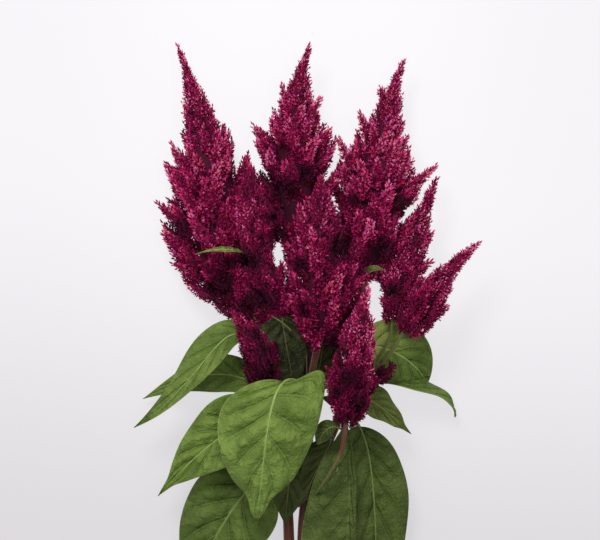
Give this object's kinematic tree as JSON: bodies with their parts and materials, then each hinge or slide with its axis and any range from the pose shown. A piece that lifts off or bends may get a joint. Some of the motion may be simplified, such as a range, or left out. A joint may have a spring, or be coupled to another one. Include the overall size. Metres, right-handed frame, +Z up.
{
  "type": "plumed celosia",
  "caption": "Cut, branching stem of plumed celosia with feathery crimson plumes and green leaves, lying on its back.",
  "frame": {"origin": "on the surface it lies on, under the middle of the bounding box", "axes": "+Y from the cut end of the stem to the plume tips, +Z up from the surface, +X to the right seen from above"},
  "size_m": [0.2601, 0.4774, 0.104],
  "materials": {
    "floret": "matt, papery tepals with a faint sheen",
    "leaf": "satin leaf with paler veins",
    "stem": "satin, ribbed red-brown to green"
  },
  "bodies": {
    "root": {"stem": "stem", "plume_left": "floret", "plume_centre": "floret", "plume_right": "floret", "plume_mid_left": "floret", "plume_front": "floret", "plume_right_side": "floret", "plume_low_right": "floret", "plume_low_front": "floret", "plume_low_left": "floret", "plume_bud": "floret", "leaf_front": "leaf", "leaf_upper_left": "leaf", "leaf_left": "leaf", "leaf_lower_left": "leaf", "leaf_bottom_left": "leaf", "leaf_under_front": "leaf", "leaf_under_left": "leaf", "leaf_bottom_centre": "leaf", "leaf_bottom_right": "leaf", "leaf_right_low": "leaf", "leaf_right_upper": "leaf", "leaf_right": "leaf", "leaf_middle": "leaf", "leaf_middle_back": "leaf", "leaf_back_left": "leaf", "leaf_back_right": "leaf", "leaf_back_upper": "leaf", "leaflet_left": "leaf", "leaflet_right": "leaf", "leaflet_low": "leaf", "leaflet_stem": "leaf"}
  },
  "joints": []
}
